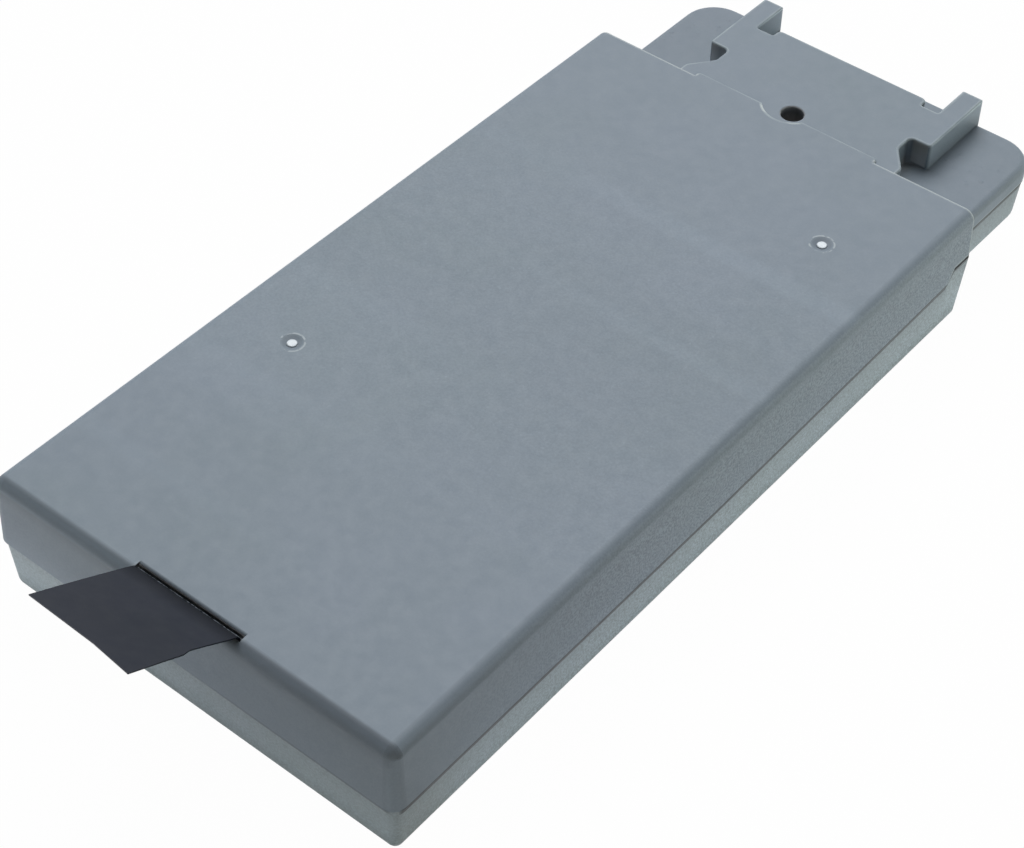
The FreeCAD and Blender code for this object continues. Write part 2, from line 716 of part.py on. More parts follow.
def cell(index):
    """a sealed round can with a crimped groove and a raised button at its positive end"""
    bottom = -CELL_LENGTH / 2
    shoulder = CELL_LENGTH / 2 - BUTTON_HEIGHT
    crimp = shoulder - CRIMP_DISTANCE
    groove = CELL_RADIUS - CRIMP_DEPTH
    half = CRIMP_WIDTH / 2
    profile = [
        (bottom, 0, 0),
        (bottom, CELL_RADIUS - CELL_BEVEL, 0),
        (bottom + CELL_BEVEL, CELL_RADIUS, 0),
        (crimp - half, CELL_RADIUS, 0),
        (crimp - half / 2, groove, 0),
        (crimp + half / 2, groove, 0),
        (crimp + half, CELL_RADIUS, 0),
        (shoulder - CELL_BEVEL, CELL_RADIUS, 0),
        (shoulder, CELL_RADIUS - CELL_BEVEL, 0),
        (shoulder, BUTTON_RADIUS, 0),
        (CELL_LENGTH / 2 - BUTTON_BEVEL, BUTTON_RADIUS, 0),
        (CELL_LENGTH / 2, BUTTON_RADIUS - BUTTON_BEVEL, 0),
        (CELL_LENGTH / 2, 0, 0),
    ]
    can = Part.Face(outline(profile, front_at)).revolve(ORIGIN, FreeCAD.Vector(1, 0, 0), 360)
    if not faces_right(index):
        can.rotate(ORIGIN, Z_AXIS, 180)
    can.translate(FreeCAD.Vector(0, cell_y(index), CELL_Z))
    return can


def cell_rings():
    """paper rings on the positive ends, round the buttons"""
    rings = []
    shoulder = CELL_LENGTH / 2 - BUTTON_HEIGHT
    for i in range(CELL_COUNT):
        low = shoulder if faces_right(i) else -shoulder - RING_THICKNESS
        disc = lying(CELL_RADIUS - CELL_BEVEL, low, low + RING_THICKNESS, cell_y(i), CELL_Z)
        rings.append(disc.cut(lying(RING_BORE, low - 1, low + 1, cell_y(i), CELL_Z)))
    return Part.makeCompound(rings)


def strip(side, first, last):
    """a strip welded over the ends of the cells from first to last"""
    low = STRIP_FACE if side > 0 else -PAPER_FACE
    half = STRIP_WIDTH / 2
    front = cell_y(first) - STRIP_END
    back = cell_y(last) + STRIP_END
    return box(low, low + STRIP_THICKNESS, front, back, CELL_Z - half, CELL_Z + half)


def strip_with_tail(side, first, last):
    """a strip whose narrow tail runs on past the last cell and folds in over the board"""
    low = STRIP_FACE if side > 0 else -PAPER_FACE
    top = BOARD_TOP + TAIL_WIDTH
    fold = BOARD_FRONT + TAIL_REACH
    inner = BOARD_WIDTH / 2 - TAIL_LANDING
    along = box(low, low + STRIP_THICKNESS, cell_y(last), fold, BOARD_TOP, top)
    leg_low = inner if side > 0 else -PAPER_FACE
    leg_high = PAPER_FACE if side > 0 else -inner
    leg = box(leg_low, leg_high, fold, fold + STRIP_THICKNESS, BOARD_TOP, top)
    return strip(side, first, last).fuse([along, leg]).removeSplitter()


def insulator(side, window_cell):
    """paper over the strips of one side, with a window where a lead is soldered on"""
    low = PAPER_FACE if side > 0 else -PAPER_FACE - PAPER_THICKNESS
    half = PAPER_WIDTH / 2
    sheet = box(low, low + PAPER_THICKNESS, CELL_FRONT + PAPER_END, CELLS_BACK - PAPER_END,
                CELL_Z - half, CELL_Z + half)
    y = cell_y(window_cell)
    z = WINDOW_WIDTH / 2
    window = box(low - 1, low + 1, y - WINDOW_LENGTH / 2, y + WINDOW_LENGTH / 2, LEAD_Z - z, LEAD_Z + z)
    return sheet.cut(window)


def lead(side, from_cell):
    """an insulated wire from its solder joint, along the side wall and in over the board"""
    start = FreeCAD.Vector(side * LEAD_X, cell_y(from_cell), LEAD_Z)
    turn_y = BOARD_FRONT + POST_INSET + PIN_RADIUS + 2 * LEAD_RADIUS
    slant = LEAD_BEND * math.sin(math.radians(45))
    bend_start = FreeCAD.Vector(side * LEAD_X, turn_y - LEAD_BEND, LEAD_Z)
    centre = FreeCAD.Vector(side * (LEAD_X - LEAD_BEND), turn_y - LEAD_BEND, LEAD_Z)
    bend_middle = centre + FreeCAD.Vector(side * slant, slant, 0)
    bend_end = FreeCAD.Vector(side * (LEAD_X - LEAD_BEND), turn_y, LEAD_Z)
    end = FreeCAD.Vector(side * (BOARD_WIDTH / 2 - LEAD_LANDING), turn_y, LEAD_Z)
    path = Part.Wire([
        Part.LineSegment(start, bend_start).toShape(),
        Part.Arc(bend_start, bend_middle, bend_end).toShape(),
        Part.LineSegment(bend_end, end).toShape(),
    ])
    section = Part.Wire(Part.makeCircle(LEAD_RADIUS, start, FreeCAD.Vector(0, 1, 0)))
    wire = path.makePipeShell([section], True, False)
    joint_low = PAPER_FACE if side > 0 else -LEAD_X
    joint_high = LEAD_X if side > 0 else -PAPER_FACE
    return wire.fuse(lying(JOINT_RADIUS, joint_low, joint_high, start.y, start.z))


def circuit_board():
    half = BOARD_WIDTH / 2
    corners = [
        (-half, BOARD_FRONT, BOARD_CORNER),
        (half, BOARD_FRONT, BOARD_CORNER),
        (half, BOARD_BACK, BOARD_CORNER),
        (-half, BOARD_BACK, BOARD_CORNER),
    ]
    board = prism(corners, BOARD_BOTTOM, BOARD_TOP)
    hole_radius = PIN_RADIUS + PIN_CLEARANCE
    return board.cut([upright(hole_radius, x, y, 0, BODY_HEIGHT) for x, y, underside in post_places()])


def on_board(x, y, length, width, height):
    """a plain block that stands on the board with its middle at x, y"""
    return box(x - length / 2, x + length / 2, y - width / 2, y + width / 2, BOARD_TOP, BOARD_TOP + height)


def chip(x, y, length, width, height, leg_count, pitch):
    """a moulded chip with a row of bent legs along each long side"""
    body = on_board(x, y, length, width, height)
    body = body.cut(on_board(x, y, length, width, CHIP_STANDOFF))
    legs = []
    for i in range(leg_count):
        middle = x + (i - (leg_count - 1) / 2) * pitch
        for side in (-1, 1):
            wall = width / 2
            corners = [
                (wall - LEG_THICKNESS, height / 2),
                (wall + LEG_THICKNESS, height / 2),
                (wall + LEG_THICKNESS, LEG_THICKNESS),
                (wall + LEG_REACH, LEG_THICKNESS),
                (wall + LEG_REACH, 0),
                (wall, 0),
                (wall, height / 2 - LEG_THICKNESS),
                (wall - LEG_THICKNESS, height / 2 - LEG_THICKNESS),
            ]
            bent = [(y + side * u, BOARD_TOP + v, 0) for u, v in corners]
            legs.append(across(bent, middle - pitch / 4, middle + pitch / 4))
    return body.fuse(legs)


def power_transistor(side):
    return chip(side * TRANSISTOR_X, BOARD_FRONT + TRANSISTOR_Y, TRANSISTOR_LENGTH, TRANSISTOR_WIDTH,
                TRANSISTOR_HEIGHT, TRANSISTOR_LEGS, TRANSISTOR_PITCH)


def gauge_chip():
    return chip(GAUGE_X, BOARD_BACK - GAUGE_Y, GAUGE_LENGTH, GAUGE_WIDTH, GAUGE_HEIGHT, GAUGE_LEGS,
                GAUGE_PITCH)


def sense_resistor():
    """a flat shunt with a metal cap over each end"""
    y = BOARD_BACK - RESISTOR_Y
    cap_x = (RESISTOR_LENGTH - RESISTOR_CAP) / 2
    body = on_board(RESISTOR_X, y, RESISTOR_LENGTH, RESISTOR_WIDTH, RESISTOR_HEIGHT)
    caps = [on_board(RESISTOR_X + side * cap_x, y, RESISTOR_CAP, RESISTOR_WIDTH,
                     RESISTOR_HEIGHT + RESISTOR_CAP_RISE) for side in (-1, 1)]
    return body.fuse(caps).removeSplitter()


def cutoff_fuse():
    """a square fuse with softened top edges"""
    x = BOARD_WIDTH / 2 - FUSE_INSET
    body = on_board(x, BOARD_FRONT + FUSE_Y, FUSE_LENGTH, FUSE_WIDTH, FUSE_HEIGHT)
    return rounded(body, FUSE_ROUND, lambda b: level(b.ZMin, BOARD_TOP + FUSE_HEIGHT))


def capacitors():
    """small two-terminal parts beside the gauge chip"""
    parts = []
    for column in range(CAPACITOR_COLUMNS):
        for row in range(CAPACITOR_ROWS):
            x = CAPACITOR_X + column * CAPACITOR_PITCH_X
            y = BOARD_BACK - CAPACITOR_Y + row * CAPACITOR_PITCH_Y
            parts.append(on_board(x, y, CAPACITOR_LENGTH, CAPACITOR_WIDTH, CAPACITOR_HEIGHT))
    return Part.makeCompound(parts)


def thermistor():
    """a small bead against the last cell, on two stiff legs that lie on the board"""
    y = CELLS_BACK + BEAD_GAP + BEAD_RADIUS
    z = BOARD_TOP + BEAD_LEG_RADIUS
    bead = Part.makeSphere(BEAD_RADIUS, FreeCAD.Vector(0, y, z))
    reach = BOARD_FRONT + BEAD_LEG_LANDING - y
    legs = [Part.makeCylinder(BEAD_LEG_RADIUS, reach, FreeCAD.Vector(x, y, z), FreeCAD.Vector(0, 1, 0))
            for x in (-BEAD_LEG_SPREAD, BEAD_LEG_SPREAD)]
    return bead.fuse(legs)


def contact_x(index):
    return TONGUE_SHIFT + (index - (CONTACT_COUNT - 1) / 2) * CONTACT_PITCH


def connector_housing():
    """the terminal block: a slotted nose through the housing's end and a flange behind the wall"""
    half = CONNECTOR_WIDTH / 2
    wide = half + FLANGE_WIDTH
    nose = box(TONGUE_SHIFT - half, TONGUE_SHIFT + half, CONNECTOR_REAR, CONNECTOR_FACE,
               CONNECTOR_BOTTOM, CONNECTOR_TOP)
    flange_back = TONGUE_END - PARTING_STEP - WALL - TONGUE_DRAFT - CONNECTOR_CLEARANCE
    flange = box(TONGUE_SHIFT - wide, TONGUE_SHIFT + wide, flange_back - FLANGE_THICKNESS, flange_back,
                 CONNECTOR_BOTTOM - FLANGE_RISE, CONNECTOR_TOP + FLANGE_RISE)
    cuts = []
    for i in range(CONTACT_COUNT):
        x = contact_x(i)
        cuts.append(box(x - SLIT_WIDTH / 2, x + SLIT_WIDTH / 2, CONNECTOR_FACE - SLIT_DEPTH,
                        CONNECTOR_FACE + 1, CONNECTOR_MIDDLE - SLIT_HEIGHT / 2,
                        CONNECTOR_MIDDLE + SLIT_HEIGHT / 2))
        cuts.append(box(x - CONTACT_THICKNESS / 2, x + CONTACT_THICKNESS / 2, CONNECTOR_REAR - 1,
                        CONNECTOR_FACE, CONNECTOR_MIDDLE - CONTACT_HEIGHT / 2,
                        CONNECTOR_MIDDLE + CONTACT_HEIGHT / 2))
    return nose.fuse(flange).cut(cuts).removeSplitter()


def connector_contacts():
    """flat blades in the slots, each with a tail soldered down on the board"""
    half = CONTACT_THICKNESS / 2
    blades = []
    for i in range(CONTACT_COUNT):
        x = contact_x(i)
        blade = box(x - half, x + half, CONNECTOR_REAR, CONNECTOR_FACE - CONTACT_SETBACK,
                    CONNECTOR_MIDDLE - CONTACT_HEIGHT / 2, CONNECTOR_MIDDLE + CONTACT_HEIGHT / 2)
        tail = box(x - half, x + half, CONNECTOR_REAR - CONTACT_TAIL, CONNECTOR_REAR,
                   BOARD_TOP, BOARD_TOP + CONTACT_TAIL_HEIGHT)
        blades.append(blade.fuse(tail).removeSplitter())
    return Part.makeCompound(blades)


def pieces():
    """every separate piece of the pack, by name"""
    made = {
        "upper_shell": upper_shell(),
        "lower_shell": lower_shell(),
        "pull_tab": pull_tab(),
        "cell_rings": cell_rings(),
        "nickel_strip_negative": strip(-1, 0, 1),
        "nickel_link_first": strip(1, 0, 3),
        "nickel_link_second": strip_with_tail(-1, 2, 5),
        "nickel_strip_positive": strip_with_tail(1, 4, 5),
        "insulator_left": insulator(-1, 1),
        "insulator_right": insulator(1, 2),
        "negative_lead": lead(-1, 1),
        "sense_lead": lead(1, 2),
        "circuit_board": circuit_board(),
        "power_transistor_1": power_transistor(-1),
        "power_transistor_2": power_transistor(1),
        "gauge_chip": gauge_chip(),
        "sense_resistor": sense_resistor(),
        "cutoff_fuse": cutoff_fuse(),
        "capacitors": capacitors(),
        "thermistor": thermistor(),
        "connector_housing": connector_housing(),
        "connector_contacts": connector_contacts(),
    }
    for i in range(CELL_COUNT):
        made["cell_%d" % (i + 1)] = cell(i)
    return made


def main():
    os.makedirs("parts", exist_ok=True)
    for name, shape in pieces().items():
        shape.exportStep("parts/%s.step" % name)
        print(name, len(shape.Solids), shape.isValid(), round(shape.Volume, 1))


main()
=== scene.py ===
import math
import bpy
from mathutils import Matrix, Vector

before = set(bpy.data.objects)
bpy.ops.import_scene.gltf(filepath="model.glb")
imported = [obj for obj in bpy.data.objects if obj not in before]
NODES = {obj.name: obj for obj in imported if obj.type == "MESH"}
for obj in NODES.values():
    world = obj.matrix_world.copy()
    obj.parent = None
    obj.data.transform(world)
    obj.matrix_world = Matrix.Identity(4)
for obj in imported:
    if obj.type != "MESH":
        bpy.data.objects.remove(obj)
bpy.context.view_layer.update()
MM = 0.001

# The camera fitted to the photograph: angles in degrees, lens and place in millimetres, clip in metres
CAMERA_AZIMUTH = 38.51
CAMERA_ELEVATION = 45.25
CAMERA_ROLL = 1.25
CAMERA_LENS = 83.83
CAMERA_SENSOR = 36
CAMERA_PLACE = (152.6, -191.37, 251.23)
CAMERA_CLIP = (0.01, 10)

# Lamps, in metres and watts: name, place, point aimed at, width and height, power, colour. The last four
# lie on the floor and throw light straight up along the walls, as a pale table does
UP = 1
LAMPS = (
    ("key", (-0.35, 0.45, 0.9), (0, 0, 0), (0.9, 0.9), 11.0, (0.99, 1.0, 1.0)),
    ("right", (0.18, 0.15, 0.05), (0.03, 0.04, 0.01), (0.08, 0.06), 0.068, (0.97, 1.0, 0.85)),
    ("corner", (0.26, -0.28, 0.08), (0.03, -0.06, 0.01), (0.2, 0.1), 0.078, (0.97, 0.87, 0.61)),
    ("foot_front", (0, -0.0745, 0.0004), (0, -0.0745, UP), (0.084, 0.014), 0.0015, (0.82, 0.93, 1.0)),
    ("foot_right", (0.0445, 0.02, 0.0004), (0.0445, 0.02, UP), (0.014, 0.15), 0.0028, (0.75, 0.86, 1.0)),
    ("card_right", (0.070, 0.055, 0.0004), (0.070, 0.055, UP), (0.05, 0.12), 0.0060, (0.90, 1.0, 0.80)),
    ("card_left", (-0.040, -0.095, 0.0004), (-0.040, -0.095, UP), (0.05, 0.05), 0.0055, (1.0, 0.97, 1.0)),
)

# The room: soft light from all round, and a floor of this half size in metres, which lies this many
# millimetres under the part and shows as almost pure white
WHITE = (1, 1, 1, 1)
AMBIENT = 0.012
AMBIENT_COLOUR = (0.93, 0.97, 1.0, 1)
FLOOR_HALF = 3.0
FLOOR_DROP = 0.05
FLOOR_GREY = (0.80, 0.80, 0.80, 1)
FLOOR_SHARE_WHITE = 0.985

# Places on the part, in millimetres as in its source
BODY_FRONT = -66.0
BODY_BACK = 66.0
BODY_TOP = 21.6
PLATE_TOP = 21.2
TONGUE_TOP = 16.5
PLY_TOP = 21.45
GATES = ((-22.9, -20.7), (22.0, 45.0))
HOLE = (0.7, 68.25)
SLOT_X = -0.3
SLOT_Y = BODY_FRONT + 2.5
SLOT_HALF_WIDTH = 10.3
SLOT_HALF_DEPTH = 1.6
SLOT_WALL_Y = BODY_FRONT + 2.9
ARM_FRONT_Y = 75.3
ARM_SLOPE_Y = 83.0
ARM_SLOPE = 0.45
RIGHT_ARM_OUTSIDE = (20.5, 21.0)
LEFT_ARM_INSIDE = (-16.4, -16.0)
CELL_HALF = 32.6
CELL_PITCH = 18.6
FIRST_CELL_Y = -54.5
WELD_APART_Y = 2.0
WELD_APART_Z = 1.8
LEAD_JOINT_X = 33.0
BOARD_TOP = 10.6
CAPACITOR_X = -4.0
CAPACITOR_PITCH = 3.6

# The parting line: its height, the slow climb over the back half and the step before the tongue
PARTING = 10.1
PARTING_CLIMB = 1.15
PARTING_RISE = 2.15
PARTING_CLIMB_START = 2.0
PARTING_RISE_START = 60.2
PARTING_RISE_END = 61.7
PARTING_HIGH = PARTING + PARTING_CLIMB + PARTING_RISE

# The lower wall stands back by a step and a draft under the upper shell's lip. From the camera's side
# the lip hides the top of it, by these shares of that inset on the front and on the right wall, and the
# joint's painted shadow line shows just below
LOWER_STEP = 0.1
LOWER_SLOPE = 0.082
HIDDEN_FRONT = 2.28
HIDDEN_RIGHT = 2.49
SEAM_WIDTH_FRONT = 0.22
SEAM_WIDTH_RIGHT = 0.50
SEAM_SHADOW = (0.015, 0.018, 0.020)

# Which way a face points: the normal's part along an axis, where it starts to count and counts fully
FLAT_UP = (0.90, 0.98)
ABOUT_UP = (0.6, 0.9)
TURNING_RIGHT = (0.3, 0.8)
SQUARE_RIGHT = (0.8, 0.9)
IN_TOP_ROUND = (0.06, 0.25)

# The shells' colours in dark and light clouds, and along edges partly worn and partly painted highlight
UPPER_DARK = (0.218, 0.269, 0.318)
UPPER_LIGHT = (0.231, 0.280, 0.341)
UPPER_WORN_LIT_EDGE = (0.40, 0.47, 0.51)
LOWER_DARK = (0.338, 0.403, 0.430)
LOWER_LIGHT = (0.353, 0.415, 0.460)
LOWER_WORN_LIT_EDGE = (0.46, 0.54, 0.58)
BACK_EDGE_HIGHLIGHT = (0.56, 0.62, 0.64)

# Grain of the shells in tone and in relief, by where it is. On top it is strongest in the middle, given
# by its place, half length and fade along y
TOP_MIDDLE = (5, 15, 35)
GRAIN_SIZE = 0.32
GRAIN_ON_WALLS = 0.33
GRAIN_ON_TOP = 0.065
GRAIN_AT_ENDS = 0.015
SPECK_SIZE = 0.55
SPECK_GAIN_MIDDLE = 1.11
SPECK_GAIN_ENDS = 1.02
BUMP_ON_WALLS = 0.55
BUMP_AT_FRONT = 0.22
BUMP_ON_TOP = 0.12
BUMP_AT_ENDS = 0.05
QUIET_RIM = 0.35

# Paler edges, partly wear, partly painted highlight: ray reach, what counts as an edge, patch size and
# strength
EDGE_REACH = 0.5
EDGE_COUNTS = (0.05, 0.15)
WORN_LIT_PATCH_SIZE = 6
WORN_LIT_PATCHES = (0.35, 0.95)
WORN_LIT_AT_SLOT = 0.25

# Faint painted light (one band painted shade) across the top over the cells: place, half width, fade,
# left and right gain
PAINTED_CELL_BANDS = (
    (34.0, 0.8, 2.0, 0.03, 0.085),
    (13.0, 0.5, 1.8, 0.008, 0.065),
    (7.0, 12.0, 2.5, 0.0, -0.022),
    (-8.0, 0.5, 2.0, 0.025, 0.0),
    (-21.0, 12.0, 6.0, 0.040, 0.0),
    (-29.0, 0.6, 1.8, 0.030, 0.012),
    (-50.0, 0.6, 1.6, 0.040, 0.0),
)

# Painted light and shade on the upper shell's top, tongue, recesses, hole and arms, as factors on its
# colour or colours mixed in
TOP_PAINTED_LIGHT_FRONT = 1.025
TOP_PAINTED_SHADE_BACK = 0.965
TONGUE_PAINTED_SHADE = 0.85
CREVICE_REACH = 5.0
CREVICE_PAINTED_SHADE = 0.70
CREVICE_PAINTED_SHADE_TONGUE = 0.88
DEEP_SHARE = 0.85
DEEP_PAINTED_LIGHT = (0.56, 0.54, 0.53)
SLOT_WALL_PAINTED_LIGHT = (0.95, 0.95, 0.95)
HOLE_PAINTED_SHADE = 0.65
HOLE_MOUTH_PAINTED_LIGHT = (0.34, 0.36, 0.39)
ARM_PAINTED_LIGHT_LOW = 1.38
ARM_PAINTED_LIGHT_HIGH = 1.84
ARM_INSIDE_PAINTED_LIGHT = 1.9
ARM_FRONT_PAINTED_LIGHT = (0.90, 0.88, 0.86)
RIGHT_ARM_FRONT_SHARE = 0.52
# Gate marks: a darker ring, painted highlights on the dish's rim, and a pale stub that is partly painted
# highlight
GATE_RING_COLOUR = (0.10, 0.12, 0.15)
GATE_ARC_HIGHLIGHT = (0.42, 0.48, 0.52)
GATE_STUB_PALE_HIGHLIGHT = (0.80, 0.87, 0.94)

# Colours of the film, as a surface and on the cut edge of its ply, whose pale specks are a painted
# highlight
FILM_DARK = (0.0060, 0.0085, 0.0165)
FILM_LIGHT = (0.0080, 0.0105, 0.0200)
PLY_DARK = (0.03, 0.033, 0.036)
PLY_HIGHLIGHT = (0.20, 0.22, 0.25)

# Colours of what is inside
SLEEVE_DARK = (0.045, 0.17, 0.25)
SLEEVE_LIGHT = (0.065, 0.22, 0.30)
STEEL_DARK = (0.50, 0.49, 0.46)
STEEL_LIGHT = (0.66, 0.64, 0.61)
PAPER_DARK = (0.50, 0.44, 0.31)
PAPER_LIGHT = (0.70, 0.64, 0.50)
NICKEL_DARK = (0.54, 0.52, 0.48)
NICKEL_LIGHT = (0.68, 0.66, 0.62)
WELD = (0.26, 0.23, 0.20)
CONTACT_DARK = (0.62, 0.46, 0.22)
CONTACT_LIGHT = (0.78, 0.60, 0.30)
WIRE_DARK = (0.022, 0.022, 0.024)
WIRE_LIGHT = (0.040, 0.040, 0.042)
SOLDER = (0.55, 0.54, 0.52)
RESIST_DARK = (0.012, 0.12, 0.045)
RESIST_LIGHT = (0.02, 0.16, 0.06)
TRACK = (0.03, 0.24, 0.09)
LAMINATE = (0.34, 0.30, 0.16)
EPOXY_DARK = (0.018, 0.018, 0.020)
EPOXY_LIGHT = (0.035, 0.035, 0.038)
TINNED_LEG = (0.60, 0.59, 0.57)
CERAMIC_DARK = (0.34, 0.24, 0.14)
CERAMIC_LIGHT = (0.46, 0.34, 0.22)
TINNED_END = (0.62, 0.61, 0.59)
BLOCK_DARK = (0.026, 0.026, 0.028)
BLOCK_LIGHT = (0.040, 0.040, 0.043)


def cell_centre(index):
    """y of a cell's middle, in millimetres"""
    return FIRST_CELL_Y + index * CELL_PITCH


# Camera, light and floor

def make_camera():
    """a pinhole camera fitted to the photograph's edges and corners"""
    azimuth, elevation, roll = (math.radians(v) for v in (CAMERA_AZIMUTH, CAMERA_ELEVATION, CAMERA_ROLL))
    right = Vector((math.cos(azimuth), math.sin(azimuth), 0))
    back = Vector((math.sin(azimuth) * math.cos(elevation),
                   -math.cos(azimuth) * math.cos(elevation), math.sin(elevation)))
    up = back.cross(right)
    turned_right = right * math.cos(roll) + up * math.sin(roll)
    turned_up = up * math.cos(roll) - right * math.sin(roll)
    data = bpy.data.cameras.new("camera")
    data.sensor_width = CAMERA_SENSOR
    data.lens = CAMERA_LENS
    data.clip_start, data.clip_end = CAMERA_CLIP
    camera = bpy.data.objects.new("camera", data)
    axes = Matrix((turned_right, turned_up, back)).transposed().to_4x4()
    camera.matrix_world = Matrix.Translation(Vector(CAMERA_PLACE) * MM) @ axes
    bpy.context.scene.collection.objects.link(camera)
    bpy.context.scene.camera = camera


def make_softbox(name, place, aim, size, power, colour):
    data = bpy.data.lights.new(name, "AREA")
    data.shape = "RECTANGLE"
    data.color = colour
    data.size, data.size_y = size
    data.energy = power
    lamp = bpy.data.objects.new(name, data)
    lamp.location = place
    lamp.rotation_mode = "QUATERNION"
    lamp.rotation_quaternion = (Vector(aim) - Vector(place)).to_track_quat("-Z", "Y")
    lamp.visible_camera = False
    bpy.context.scene.collection.objects.link(lamp)


def seen_directly(tree):
    """1 for camera, glossy and transmission rays, which see the background as it is"""
    path = tree.nodes.new("ShaderNodeLightPath")
    either = path.outputs["Is Camera Ray"]
    for kind in ("Is Glossy Ray", "Is Transmission Ray"):
        larger = tree.nodes.new("ShaderNodeMath")
        larger.operation = "MAXIMUM"
        tree.links.new(either, larger.inputs[0])
        tree.links.new(path.outputs[kind], larger.inputs[1])
        either = larger.outputs[0]
    return either


def coloured(tree, kind, colour):
    """a new shader node of one colour"""
    node = tree.nodes.new(kind)
    node.inputs["Color"].default_value = colour
    return node


def mixed(tree, share, first, second):
    """a mix of two shader nodes, with this share of the second"""
    mix = tree.nodes.new("ShaderNodeMixShader")
    tree.links.new(share, mix.inputs[0])
    tree.links.new(first.outputs[0], mix.inputs[1])
    tree.links.new(second.outputs[0], mix.inputs[2])
    return mix.outputs[0]


def make_world():
    """a little soft light from all round, and plain white where the world itself is seen"""
    world = bpy.data.worlds.new("studio")
    world.use_nodes = True
    tree = world.node_tree
    tree.nodes.clear()
    soft = coloured(tree, "ShaderNodeBackground", AMBIENT_COLOUR)
    soft.inputs["Strength"].default_value = AMBIENT
    white = coloured(tree, "ShaderNodeBackground", WHITE)
    white.inputs["Strength"].default_value = 1.0
    out = tree.nodes.new("ShaderNodeOutputWorld")
    tree.links.new(mixed(tree, seen_directly(tree), soft, white), out.inputs["Surface"])
    bpy.context.scene.world = world


def make_floor():
    """a plain pale floor that shows as white and keeps a faint shadow"""
    half = FLOOR_HALF
    corners = [(-half, -half, 0), (half, -half, 0), (half, half, 0), (-half, half, 0)]
    mesh = bpy.data.meshes.new("floor")
    mesh.from_pydata(corners, [], [(0, 1, 2, 3)])
    floor = bpy.data.objects.new("floor", mesh)
    floor.location.z = -FLOOR_DROP * MM
    bpy.context.scene.collection.objects.link(floor)
    material = bpy.data.materials.new("floor")
    material.use_nodes = True
    tree = material.node_tree
    tree.nodes.clear()
    paper = coloured(tree, "ShaderNodeBsdfDiffuse", FLOOR_GREY)
    glow = coloured(tree, "ShaderNodeEmission", WHITE)
    glow.inputs["Strength"].default_value = 1.0
    share = tree.nodes.new("ShaderNodeMath")
    share.operation = "MULTIPLY"
    share.inputs[1].default_value = FLOOR_SHARE_WHITE
    tree.links.new(seen_directly(tree), share.inputs[0])
    out = tree.nodes.new("ShaderNodeOutputMaterial")
    tree.links.new(mixed(tree, share.outputs[0], paper, glow), out.inputs["Surface"])
    mesh.materials.append(material)


# Node materials

